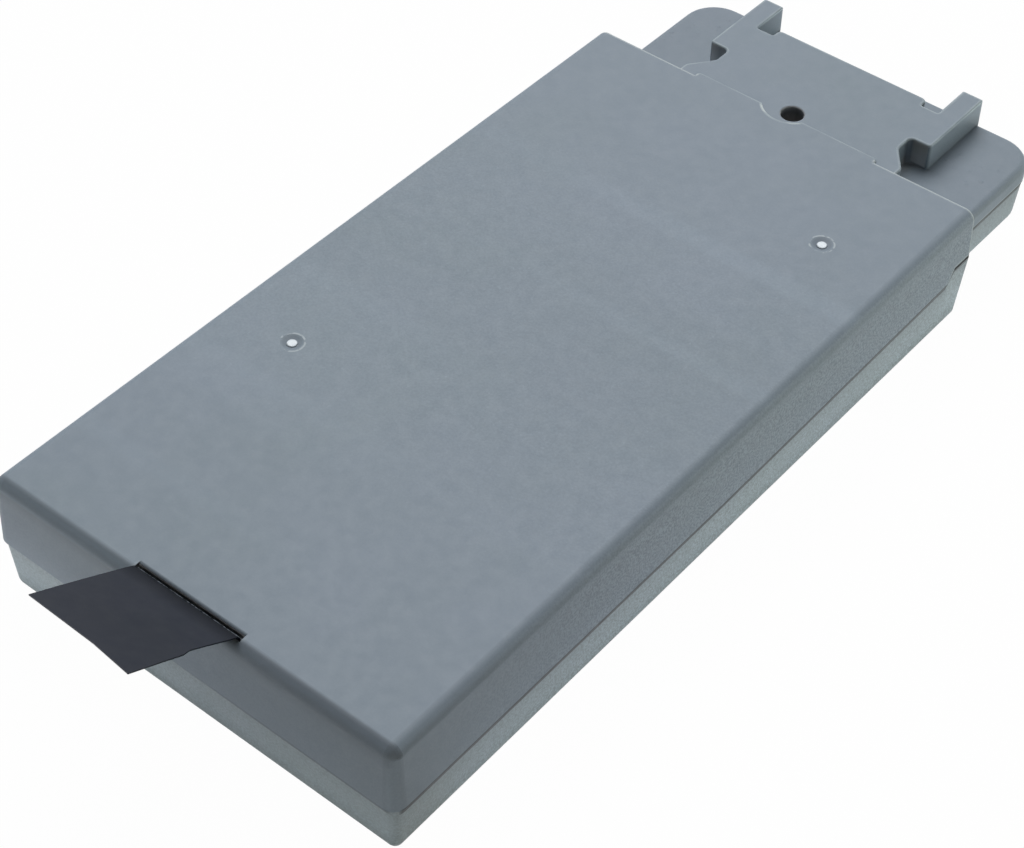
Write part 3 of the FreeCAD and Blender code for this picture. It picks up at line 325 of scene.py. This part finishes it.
class Graph:
    """a node material under construction; places are object coordinates in millimetres"""

    def __init__(self, name, roughness, metallic=0.0, specular=0.5):
        self.material = bpy.data.materials.new(name)
        self.material.use_nodes = True
        self.tree = self.material.node_tree
        self.shader = self.tree.nodes["Principled BSDF"]
        self.shader.inputs["Roughness"].default_value = roughness
        self.shader.inputs["Metallic"].default_value = metallic
        self.shader.inputs["Specular IOR Level"].default_value = specular
        coordinates = self.add("ShaderNodeTexCoord")
        scaled = self.add("ShaderNodeVectorMath", operation="SCALE")
        scaled.inputs["Scale"].default_value = 1 / MM
        self.link(coordinates.outputs["Object"], scaled.inputs[0])
        self.place = scaled.outputs[0]
        apart = self.add("ShaderNodeSeparateXYZ")
        self.link(self.place, apart.inputs[0])
        self.x, self.y, self.z = apart.outputs
        geometry = self.add("ShaderNodeNewGeometry")
        facing = self.add("ShaderNodeSeparateXYZ")
        self.link(geometry.outputs["Normal"], facing.inputs[0])
        self.facing_x, self.facing_y, self.facing_z = facing.outputs

    def add(self, kind, **settings):
        node = self.tree.nodes.new(kind)
        for name, value in settings.items():
            setattr(node, name, value)
        return node

    def link(self, source, target):
        self.tree.links.new(source, target)

    def put(self, value, socket):
        """sets the socket to a number or a colour, or links another socket to it"""
        if isinstance(value, (int, float)):
            socket.default_value = value
        elif isinstance(value, tuple):
            socket.default_value = (*value, 1.0)[:len(socket.default_value)]
        else:
            self.link(value, socket)

    def math(self, operation, *values):
        node = self.add("ShaderNodeMath", operation=operation)
        for value, socket in zip(values, node.inputs):
            self.put(value, socket)
        return node.outputs[0]

    def plus(self, a, b):
        return self.math("ADD", a, b)

    def minus(self, a, b):
        return self.math("SUBTRACT", a, b)

    def times(self, product, *others):
        for value in others:
            product = self.math("MULTIPLY", product, value)
        return product

    def times_plus(self, a, b, c):
        return self.math("MULTIPLY_ADD", a, b, c)

    def larger(self, a, b):
        return self.math("MAXIMUM", a, b)

    def size_of(self, value):
        return self.math("ABSOLUTE", value)

    def away(self, value, middle):
        """how far the value is from the middle"""
        return self.size_of(self.minus(value, middle))

    def to_nearest(self, value, start, pitch):
        """how far the value is from the nearest point of a row"""
        return self.math("PINGPONG", self.minus(value, start), pitch / 2)

    def length(self, a, b):
        """length of the vector with these two parts"""
        return self.math("SQRT", self.plus(self.times(a, a), self.times(b, b)))

    def distance(self, x, y):
        """distance in plan from a point"""
        return self.length(self.minus(self.x, x), self.minus(self.y, y))

    def stretched(self, x, y, z):
        """the place with its axes scaled, for grain that runs one way"""
        node = self.add("ShaderNodeVectorMath", operation="MULTIPLY")
        self.link(self.place, node.inputs[0])
        node.inputs[1].default_value = (x, y, z)
        return node.outputs[0]

    def noise(self, size, detail=2.0, roughness=0.5, place=None):
        """soft noise with features of about the given size in millimetres"""
        node = self.add("ShaderNodeTexNoise")
        self.link(place or self.place, node.inputs["Vector"])
        node.inputs["Scale"].default_value = 1 / size
        node.inputs["Detail"].default_value = detail
        node.inputs["Roughness"].default_value = roughness
        return node.outputs["Fac"]

    def pits(self, size):
        """distance to the nearest of many scattered points, 0 at each"""
        node = self.add("ShaderNodeTexVoronoi")
        self.link(self.place, node.inputs["Vector"])
        node.inputs["Scale"].default_value = 1 / size
        return node.outputs["Distance"]

    def ramp(self, value, low, high, out_low=0.0, out_high=1.0, smooth=False):
        """out_low up to low, out_high from high on, and in proportion between them"""
        node = self.add("ShaderNodeMapRange", interpolation_type="SMOOTHSTEP" if smooth else "LINEAR")
        for socket, v in zip(node.inputs, (value, low, high, out_low, out_high)):
            self.put(v, socket)
        return node.outputs[0]

    def below(self, value, low, high, smooth=False):
        """1 up to low, falling to 0 at high"""
        return self.ramp(value, low, high, 1.0, 0.0, smooth)

    def band(self, value, middle, half, soft):
        """1 within half of the middle, falling off over soft"""
        return self.below(self.away(value, middle), half, half + soft, smooth=True)

    def between(self, mask, at_none, at_full):
        """at_none where the mask is 0 and at_full where it is 1"""
        return self.ramp(mask, 0, 1, at_none, at_full)

    def mix(self, factor, a, b, blend="MIX"):
        node = self.add("ShaderNodeMix", data_type="RGBA", blend_type=blend)
        self.put(factor, node.inputs[0])
        self.put(a, node.inputs[6])
        self.put(b, node.inputs[7])
        return node.outputs[2]

    def clouds(self, dark, light, size, detail, roughness=0.5):
        """two colours in soft clouds with some contrast"""
        return self.mix(self.ramp(self.noise(size, detail, roughness), 0.35, 0.65), dark, light)

    def tinted(self, base, factor):
        """the base colour times a grey factor that may pass 1"""
        return self.mix(1.0, base, factor, "MULTIPLY")

    def tinted_in(self, mask, base, factor):
        """the base colour, times the factor where the mask is 1"""
        return self.tinted(base, self.between(mask, 1.0, factor))

    def convex_edges(self, reach_mm):
        """near 1 along outer edges: there, rays cast into the solid come out soon"""
        node = self.add("ShaderNodeAmbientOcclusion", inside=True, samples=8)
        node.inputs["Distance"].default_value = reach_mm * MM
        return self.minus(1.0, node.outputs["AO"])

    def openness(self, reach_mm):
        """1 in the open, less in inner corners, which see little of the room"""
        node = self.add("ShaderNodeAmbientOcclusion", samples=8)
        node.inputs["Distance"].default_value = reach_mm * MM
        return node.outputs["AO"]

    def bump(self, height, strength, depth_mm):
        """relief on top of what the material already has"""
        node = self.add("ShaderNodeBump")
        self.put(strength, node.inputs["Strength"])
        node.inputs["Distance"].default_value = depth_mm * MM
        self.link(height, node.inputs["Height"])
        if self.shader.inputs["Normal"].links:
            self.link(self.shader.inputs["Normal"].links[0].from_socket, node.inputs["Normal"])
        self.link(node.outputs[0], self.shader.inputs["Normal"])

    def colour(self, value):
        self.put(value, self.shader.inputs["Base Color"])

    def metallic(self, value):
        self.put(value, self.shader.inputs["Metallic"])

    def rough(self, value):
        self.put(value, self.shader.inputs["Roughness"])

    def rough_patches(self, size, detail, least, most):
        """roughness that wanders between two values"""
        self.rough(self.ramp(self.noise(size, detail), 0.3, 0.7, least, most))


# The housing

def parting_height(g):
    """height of the parting line, which depends on y"""
    climbed = g.ramp(g.y, PARTING_CLIMB_START, PARTING_RISE_START, PARTING, PARTING + PARTING_CLIMB)
    stepped = g.ramp(g.y, PARTING_RISE_START, PARTING_RISE_END, 0.0, PARTING_RISE)
    return g.plus(climbed, stepped)


def worn_and_highlit_edges(g, base, rim):
    """outer edges show paler in patches, partly wear and partly painted highlight; not at the joint or
    the hole, and little at the slot
    """
    edges = g.ramp(g.convex_edges(EDGE_REACH), *EDGE_COUNTS)
    off_joint = g.larger(g.ramp(g.away(g.z, parting_height(g)), 0.4, 0.9), g.ramp(g.y, 59.0, 60.0))
    off_hole = g.ramp(g.distance(*HOLE), 2.2, 3.4)
    across_slot = g.band(g.x, middle=SLOT_X, half=SLOT_HALF_WIDTH, soft=0.3)
    at_slot = g.times(g.band(g.y, middle=SLOT_Y, half=SLOT_HALF_DEPTH, soft=0.3), across_slot)
    off_slot = g.between(at_slot, 1.0, WORN_LIT_AT_SLOT)
    # painted highlight along the upper shell's back edge, above the tongue
    at_back = g.times(g.band(g.y, middle=BODY_BACK - 0.1, half=0.5, soft=0.2), g.ramp(g.z, 13.6, 14.0))
    patches = g.ramp(g.noise(WORN_LIT_PATCH_SIZE, detail=2), 0.40, 0.60, *WORN_LIT_PATCHES)
    worn_and_lit = g.times(edges, off_joint, off_hole, off_slot, g.larger(patches, at_back))
    return g.mix(worn_and_lit, base, g.mix(at_back, rim, BACK_EDGE_HIGHLIGHT))


def housing(name, dark, light, rim, front_grain, calm):
    """fine-grained moulded plastic: cloudy tone, grain, sparse light specks, outer edges paler from wear
    and painted highlight
    """
    g = Graph(name, roughness=0.55, specular=0.4)
    base = g.clouds(dark, light, size=38, detail=4, roughness=0.6)
    up = g.ramp(g.facing_z, *FLAT_UP)
    to_right = g.ramp(g.facing_x, *TURNING_RIGHT)
    middle = g.band(g.y, *TOP_MIDDLE)
    past_corner = g.ramp(g.y, BODY_FRONT + 8, BODY_FRONT + 41, calm, 1.0)
    before_tongue = g.ramp(g.y, BODY_BACK + 0.2, BODY_BACK + 0.6, 1.0, calm)
    along = g.times(past_corner, before_tongue)
    quiet = g.ramp(g.z, BODY_TOP - 3.1, BODY_TOP - 1.1, 1.0, QUIET_RIM)

    grain = g.noise(GRAIN_SIZE, detail=1)
    on_top = g.between(middle, GRAIN_AT_ENDS, GRAIN_ON_TOP)
    on_walls = g.times(g.between(to_right, front_grain, g.times(along, GRAIN_ON_WALLS)), quiet)
    depth = g.between(up, on_walls, on_top)
    base = g.tinted(base, g.times_plus(g.ramp(grain, 0.3, 0.7, -1, 1), depth, 1.0))
    speck_gain = g.between(middle, SPECK_GAIN_ENDS, SPECK_GAIN_MIDDLE)
    specks = g.noise(SPECK_SIZE, detail=2, roughness=0.6)
    base = g.tinted(base, g.ramp(specks, 0.64, 0.72, 1.0, speck_gain))
    base = worn_and_highlit_edges(g, base, rim)

    rough_walls = g.times(g.between(to_right, BUMP_AT_FRONT, g.times(along, BUMP_ON_WALLS)), quiet)
    rough_top = g.between(middle, BUMP_AT_ENDS, BUMP_ON_TOP)
    g.bump(grain, g.between(up, rough_walls, rough_top), depth_mm=0.05)
    g.rough_patches(size=1.6, detail=3, least=0.52, most=0.60)
    return g, base


def knobs(g, size, amount, height):
    """small scattered bumps in loose drifts"""
    domes = g.below(g.pits(size), 0.08, 0.32, smooth=True)
    drifts = g.ramp(g.noise(3.0), 0.48, 0.58)
    g.bump(g.times(domes, drifts), amount, height)


def seam_shade(g, at_front, at_right):
    """how strong the joint's painted shadow is: a thin line on the right, fading to the left along the
    front
    """
    right = g.times(g.ramp(g.facing_x, 0.85, 0.98), at_right)
    front = g.times(g.below(g.facing_y, -0.98, -0.85), g.ramp(g.x, -5, 12, 0.0, at_front))
    return g.larger(right, front)


def paint_cell_bands(g, base, on_top):
    """faint bands of painted light, and one of painted shade, across the top over the cells"""
    for place, half, soft, at_left, at_right in PAINTED_CELL_BANDS:
        gain = g.ramp(g.x, -18, 12, at_left, at_right)
        lit = g.times(g.band(g.y, place, half, soft), on_top, gain)
        base = g.tinted(base, g.plus(lit, 1.0))
    return base


def shade_recesses(g, base, on_tongue):
    """painted shade in inner corners, painted light where they are deepest, as from what stands round
    them, and painted light on the slot's back wall
    """
    seen = g.openness(CREVICE_REACH)
    dimmed = g.between(on_tongue, CREVICE_PAINTED_SHADE, CREVICE_PAINTED_SHADE_TONGUE)
    # painted shade in inner corners
    base = g.tinted(base, g.ramp(seen, 0.40, 0.97, dimmed, 1.0))
    # painted light in the deepest corners
    base = g.mix(g.ramp(seen, 0.08, 0.50, DEEP_SHARE, 0.0), base, DEEP_PAINTED_LIGHT)
    # painted light on the slot's back wall
    slot_wall = g.times(g.below(g.facing_y, -0.95, -0.80),
                        g.band(g.y, middle=SLOT_WALL_Y, half=0.5, soft=0.1), g.ramp(g.z, 12, 13))
    return g.mix(slot_wall, base, SLOT_WALL_PAINTED_LIGHT)


def shade_hole(g, base):
    """painted shade deep in the hole, and painted light just below its mouth"""
    in_hole = g.below(g.distance(*HOLE), 1.95, 2.05)
    deep = g.times(in_hole, g.below(g.z, PLATE_TOP - 1.2, PLATE_TOP - 0.6))
    # painted shade deep in the hole
    base = g.tinted_in(deep, base, HOLE_PAINTED_SHADE)
    mouth = g.times(in_hole, g.ramp(g.z, PLATE_TOP - 0.9, PLATE_TOP - 0.2))
    # painted light just below its mouth
    return g.mix(mouth, base, HOLE_MOUTH_PAINTED_LIGHT)


def paint_light_on_arms(g, base):
    """painted light on upright faces of the arms: the right one's outer face, both fronts and the left
    one's inner face
    """
    standing = g.ramp(g.z, TONGUE_TOP + 0.2, TONGUE_TOP + 0.5)
    outer = g.times(g.ramp(g.facing_x, *SQUARE_RIGHT), g.ramp(g.x, *RIGHT_ARM_OUTSIDE),
                    g.ramp(g.y, ARM_FRONT_Y, ARM_FRONT_Y + 0.7), standing)
    above_slope = g.times_plus(g.minus(g.y, ARM_SLOPE_Y), ARM_SLOPE, g.minus(g.z, PLATE_TOP))
    # painted light on the right arm's outer face, strongest above a slope near its end
    base = g.tinted_in(outer, base, g.ramp(above_slope, -0.9, 0.9, ARM_PAINTED_LIGHT_LOW, ARM_PAINTED_LIGHT_HIGH))

    front = g.times(g.below(g.facing_y, -1.0, -0.9), g.band(g.y, middle=ARM_FRONT_Y, half=0.4, soft=0.2),
                    g.ramp(g.size_of(g.x), 18.3, 20.0, 0.5, 0.95),
                    g.ramp(g.x, -5, 5, 1.0, RIGHT_ARM_FRONT_SHARE), standing)
    # painted light on the arms' front faces
    base = g.mix(front, base, ARM_FRONT_PAINTED_LIGHT)

    inner = g.times(g.ramp(g.facing_x, *SQUARE_RIGHT), g.below(g.x, *LEFT_ARM_INSIDE),
                    g.ramp(g.y, 79, 80), standing)
    # painted light on the left arm's inner face
    return g.tinted_in(inner, base, ARM_INSIDE_PAINTED_LIGHT)


def front_painted_shading(g, in_round):
    """painted shade on the front's top edge where it turns down, painted light low in that round, painted
    shade on the wall under it
    """
    edge_shade = g.ramp(g.x, -20, 10, 0.73, 0.61)
    turning = g.ramp(g.facing_y, -0.24, -0.01, edge_shade, 1.0)
    turned = g.ramp(g.facing_y, -0.95, -0.45, g.ramp(g.x, -20, 10, 1.34, 1.06), edge_shade)
    at_front = g.below(g.y, BODY_FRONT + 2, BODY_FRONT + 4)
    front_round = g.between(at_front, 1.0, g.larger(turning, turned))
    # painted shade on the wall under the front edge
    under_edge = g.ramp(g.z, BODY_TOP - 3.6, BODY_TOP - 1.3, 0.955, 0.71)
    wall = g.times(under_edge, g.ramp(g.x, 10, 34, 1.0, 0.93))
    return g.between(in_round, g.ramp(g.facing_y, -0.9, -0.5, wall, 1.0), front_round)


def right_painted_shading(g, in_round):
    """painted light low in the right top edge's round and painted shade above it, painted light on the
    front corner and painted shade on the right wall
    """
    lit = g.times(g.band(g.facing_x, middle=0.88, half=0.12, soft=0.12),
                  g.ramp(g.y, BODY_FRONT + 6, 0, 0.0, 0.17))
    round_shade = g.times(g.band(g.facing_x, middle=0.33, half=0.2, soft=0.2),
                     g.ramp(g.y, BODY_FRONT + 6, 0, -0.12, -0.06))
    top_round = g.times(in_round, g.ramp(g.z, BODY_TOP - 3.1, BODY_TOP - 2.1))
    right_round = g.plus(1.0, g.times(g.plus(lit, round_shade), top_round))
    # painted light on the rounded front corner
    corner = g.times(g.band(g.facing_x, middle=0.6, half=0.2, soft=0.25), g.between(in_round, 0.16, 0.0))
    # painted shade on the right wall
    wall = g.ramp(g.y, BODY_FRONT + 6, BODY_FRONT + 36, 0.86, 0.92)
    return g.times(right_round, g.plus(g.ramp(g.facing_x, 0.5, 0.95, 1.0, wall), corner))


def gate_mark(g, base, away, on_top):
    """pale glossy stub of the gate, partly painted highlight, a darker ring beside it and broken painted
    highlights at the dish's rim
    """
    ring = g.times(g.band(away, middle=1.10, half=0.12, soft=0.4), on_top, 0.32)
    base = g.mix(ring, base, GATE_RING_COLOUR)
    # painted highlights on the dish's rim
    broken = g.ramp(g.noise(1.4), 0.49, 0.55)
    arcs = g.times(g.band(away, middle=1.85, half=0.06, soft=0.14), broken, on_top)
    base = g.mix(arcs, base, GATE_ARC_HIGHLIGHT)
    # pale stub, partly painted highlight
    stub = g.times(g.below(away, 0.60, 0.85, smooth=True), g.ramp(g.z, BODY_TOP - 1, BODY_TOP - 0.6))
    rough = g.shader.inputs["Roughness"].links[0].from_socket
    g.rough(g.between(stub, rough, 0.25))
    return g.mix(stub, base, GATE_STUB_PALE_HIGHLIGHT)


def upper_housing():
    """the upper shell: its top, tongue, recesses, hole, arms and edges with painted light and shade, gate
    marks, and painted shadow at the joint below
    """
    g, base = housing("housing_upper", UPPER_DARK, UPPER_LIGHT, UPPER_WORN_LIT_EDGE, front_grain=0.05, calm=0.15)
    on_top = g.ramp(g.z, BODY_TOP - 0.6, BODY_TOP - 0.4)
    # painted light and shade in faint bands over the cells
    base = paint_cell_bands(g, base, on_top)
    on_tongue = g.times(g.below(g.z, TONGUE_TOP + 0.1, TONGUE_TOP + 0.4), g.ramp(g.facing_z, *ABOUT_UP))
    base = shade_recesses(g, base, on_tongue)
    # painted light towards the front of the top, painted shade towards its back and on the tongue
    top_painted_light = g.ramp(g.y, -45, 60, TOP_PAINTED_LIGHT_FRONT, TOP_PAINTED_SHADE_BACK)
    base = g.tinted(base, g.between(on_tongue, top_painted_light, TONGUE_PAINTED_SHADE))
    knobs(g, size=1.6, amount=on_tongue, height=0.07)
    knobs(g, size=1.9, amount=g.times(on_top, g.band(g.y, *TOP_MIDDLE)), height=0.02)
    base = shade_hole(g, base)
    base = paint_light_on_arms(g, base)
    in_round = g.ramp(g.facing_z, *IN_TOP_ROUND)
    # painted light and shade on the front and right top edges, corner and walls
    base = g.tinted(base, g.times(front_painted_shading(g, in_round), right_painted_shading(g, in_round)))
    for x, y in GATES:
        base = gate_mark(g, base, g.distance(x, y), on_top)

    above = g.minus(g.z, parting_height(g))
    # painted shade on the gap's underside and a painted shadow line on the lip
    gap = g.times(g.below(g.facing_z, -0.6, -0.5), g.below(above, 0.10, 0.15))
    lip = g.times(g.below(above, 0.17, 0.23), seam_shade(g, at_front=0.34, at_right=0.95))
    g.colour(g.mix(g.larger(gap, lip), base, SEAM_SHADOW))
    return g.material


def lower_housing():
    """the lower shell: painted light growing towards its foot and painted shade towards the back of its
    right side, with a painted shadow line of the joint under the lip
    """
    g, base = housing("housing_lower", LOWER_DARK, LOWER_LIGHT, LOWER_WORN_LIT_EDGE, front_grain=0.15, calm=0.6)
    down = g.minus(parting_height(g), g.z)
    # painted light growing towards the foot
    base = g.tinted(base, g.ramp(down, 0.8, 8.0, 0.80, 1.20))
    # painted shade towards the back of the right side
    base = g.tinted_in(g.ramp(g.facing_x, 0.5, 0.9), base, g.ramp(g.y, 5, 58, 1.0, 0.87))

    inset = g.times_plus(g.minus(PARTING_HIGH, parting_height(g)), LOWER_SLOPE, LOWER_STEP)
    hidden = g.times(inset, g.ramp(g.facing_x, *TURNING_RIGHT, HIDDEN_FRONT, HIDDEN_RIGHT))
    width = g.ramp(g.facing_x, *TURNING_RIGHT, SEAM_WIDTH_FRONT, SEAM_WIDTH_RIGHT)
    past = g.minus(g.minus(down, hidden), width)
    shade = seam_shade(g, at_front=0.50, at_right=g.ramp(g.y, 10, 40, 0.92, 0.80))
    # painted shadow of the joint's gap on the lower wall and on its rim
    seam = g.larger(g.times(g.below(past, -0.04, 0.06), shade), g.below(down, 0.27, 0.30))
    g.colour(g.mix(seam, base, SEAM_SHADOW))
    return g.material


# The film and what is inside

def film():
    """smooth dark film, hazy with handling, with painted shade and less sheen in the bend, and a painted
    highlight on the cut edge of its ply
    """
    g = Graph("film", roughness=0.5, specular=0.18)
    g.shader.inputs["Specular Tint"].default_value = (0.84, 0.92, 1.0, 1)
    base = g.clouds(FILM_DARK, FILM_LIGHT, size=9, detail=3)
    bend = g.ramp(g.y, BODY_FRONT - 1.5, BODY_FRONT + 1.4)
    # painted shade in the bend
    base = g.tinted_in(bend, base, 0.4)
    foot = g.ramp(g.y, BODY_FRONT + 1.25, BODY_FRONT + 1.55)
    g.put(g.between(foot, g.between(bend, 0.17, 0.07), 0.0), g.shader.inputs["Specular IOR Level"])
    # painted highlight on the cut edge of the ply
    cut = g.times(g.ramp(g.facing_z, 0.6, 0.7), g.band(g.z, middle=PLY_TOP, half=0.05, soft=0.03))
    edge = g.mix(g.ramp(g.noise(0.35, detail=2), 0.4, 0.6), PLY_DARK, PLY_HIGHLIGHT)
    g.bump(g.noise(5, detail=2), strength=0.1, depth_mm=0.1)
    g.rough_patches(size=2.5, detail=4, least=0.38, most=0.48)
    g.colour(g.mix(cut, base, edge))
    return g.material


def cell_sleeve():
    """shrink sleeve over the can, with bare plated metal at both ends"""
    g = Graph("cell_sleeve", roughness=0.3)
    sleeve = g.clouds(SLEEVE_DARK, SLEEVE_LIGHT, size=7, detail=3)
    end = g.ramp(g.size_of(g.x), CELL_HALF - 1.2, CELL_HALF - 1.1)
    steel = g.mix(g.noise(0.6, detail=3), STEEL_DARK, STEEL_LIGHT)
    g.colour(g.mix(end, sleeve, steel))
    g.metallic(end)
    g.bump(g.noise(3.5, detail=3), strength=0.15, depth_mm=0.1)
    g.rough_patches(size=1.3, detail=3, least=0.22, most=0.38)
    return g.material


def paper():
    """pressed paper with long fibres"""
    g = Graph("insulating_paper", roughness=0.8, specular=0.2)
    fibre = g.noise(0.9, detail=5, roughness=0.7, place=g.stretched(1, 0.25, 1.6))
    g.colour(g.mix(fibre, PAPER_DARK, PAPER_LIGHT))
    g.bump(fibre, strength=0.3, depth_mm=0.05)
    return g.material


def metal(name, dark, light, roughness, size, stretch):
    """rolled or plated metal, its fine lines running one way"""
    g = Graph(name, roughness=roughness, metallic=1.0)
    lines = g.noise(size, detail=4, roughness=0.6, place=g.stretched(*stretch))
    base = g.mix(lines, dark, light)
    g.colour(base)
    g.rough_patches(size=1.1, detail=3, least=roughness - 0.06, most=roughness + 0.08)
    g.bump(lines, strength=0.12, depth_mm=0.02)
    return g, base


def nickel():
    """nickel strip with weld marks in pairs over each cell's end"""
    g, base = metal("nickel", NICKEL_DARK, NICKEL_LIGHT, roughness=0.3, size=0.8, stretch=(1, 0.08, 1))
    along = g.away(g.to_nearest(g.y, cell_centre(0), CELL_PITCH), WELD_APART_Y)
    up = g.away(g.away(g.z, BODY_TOP / 2), WELD_APART_Z)
    weld = g.below(g.length(along, up), 0.35, 0.6, smooth=True)
    g.colour(g.mix(weld, base, WELD))
    return g.material


def contact_metal():
    """plated contact blades"""
    g, _ = metal("contact_metal", CONTACT_DARK, CONTACT_LIGHT,
                 roughness=0.25, size=0.5, stretch=(1, 0.1, 1))
    return g.material


def wire():
    """black insulation, with bright solder where the lead is joined to its strip"""
    g = Graph("wire_black", roughness=0.5)
    tone = g.mix(g.noise(2.0, detail=3), WIRE_DARK, WIRE_LIGHT)
    joints = (g.distance(-LEAD_JOINT_X, cell_centre(1)), g.distance(LEAD_JOINT_X, cell_centre(2)))
    solder = g.below(g.math("MINIMUM", *joints), 1.5, 1.6)
    g.colour(g.mix(solder, tone, SOLDER))
    g.metallic(solder)
    g.bump(g.noise(0.7, detail=3), strength=0.2, depth_mm=0.05)
    return g.material


def board():
    """green solder resist over copper tracks, and bare laminate on the cut sides"""
    g = Graph("board", roughness=0.35)
    resist = g.mix(g.noise(4, detail=3), RESIST_DARK, RESIST_LIGHT)
    weave = g.add("ShaderNodeTexWave", wave_type="BANDS", bands_direction="X")
    g.link(g.place, weave.inputs["Vector"])
    weave.inputs["Scale"].default_value = 0.22
    weave.inputs["Distortion"].default_value = 1.6
    tracks = g.ramp(weave.outputs["Fac"], 0.62, 0.66)
    base = g.mix(tracks, resist, TRACK)
    side = g.below(g.size_of(g.facing_z), 0.4, 0.6)
    g.colour(g.mix(side, base, LAMINATE))
    g.bump(tracks, strength=0.4, depth_mm=0.03)
    g.rough_patches(size=1.2, detail=2, least=0.28, most=0.42)
    return g.material


def chip_black():
    """moulded epoxy body with tinned legs or end caps, which stand low beside the body"""
    g = Graph("chip_black", roughness=0.6, specular=0.3)
    body = g.mix(g.noise(0.35, detail=3), EPOXY_DARK, EPOXY_LIGHT)
    low = g.below(g.z, BOARD_TOP + 0.26, BOARD_TOP + 0.3)
    g.colour(g.mix(low, body, TINNED_LEG))
    g.metallic(low)
    g.bump(g.noise(0.3, detail=3), strength=0.3, depth_mm=0.03)
    g.rough_patches(size=0.8, detail=2, least=0.52, most=0.66)
    return g.material


def ceramic():
    """brown ceramic between two tinned ends"""
    g = Graph("ceramic", roughness=0.5)
    body = g.mix(g.noise(0.5, detail=3), CERAMIC_DARK, CERAMIC_LIGHT)
    tinned = g.ramp(g.to_nearest(g.x, CAPACITOR_X, CAPACITOR_PITCH), 0.55, 0.6)
    g.colour(g.mix(tinned, body, TINNED_END))
    g.metallic(tinned)
    g.bump(g.noise(0.3, detail=3), strength=0.2, depth_mm=0.02)
    g.rough_patches(size=0.6, detail=2, least=0.4, most=0.55)
    return g.material


def terminal_black():
    """black moulded terminal block"""
    g = Graph("terminal_black", roughness=0.5)
    g.colour(g.mix(g.noise(3.0, detail=4), BLOCK_DARK, BLOCK_LIGHT))
    g.bump(g.noise(0.3, detail=3), strength=0.35, depth_mm=0.04)
    g.rough_patches(size=0.9, detail=3, least=0.44, most=0.58)
    return g.material


# Dressing the nodes

def dress(material, *names):
    for name in names:
        slots = NODES[name].data.materials
        slots.clear()
        slots.append(material)


make_camera()
make_world()
for lamp in LAMPS:
    make_softbox(*lamp)
make_floor()

dress(upper_housing(), "upper_shell")
dress(lower_housing(), "lower_shell")
dress(film(), "pull_tab")
dress(cell_sleeve(), *["cell_%d" % (i + 1) for i in range(6)])
dress(paper(), "cell_rings", "insulator_left", "insulator_right")
dress(nickel(), "nickel_strip_negative", "nickel_link_first", "nickel_link_second",
      "nickel_strip_positive")
dress(wire(), "negative_lead", "sense_lead")
dress(board(), "circuit_board")
dress(chip_black(), "power_transistor_1", "power_transistor_2", "gauge_chip", "sense_resistor",
      "cutoff_fuse", "thermistor")
dress(ceramic(), "capacitors")
dress(terminal_black(), "connector_housing")
dress(contact_metal(), "connector_contacts")

bpy.context.scene.view_settings.view_transform = "Standard"
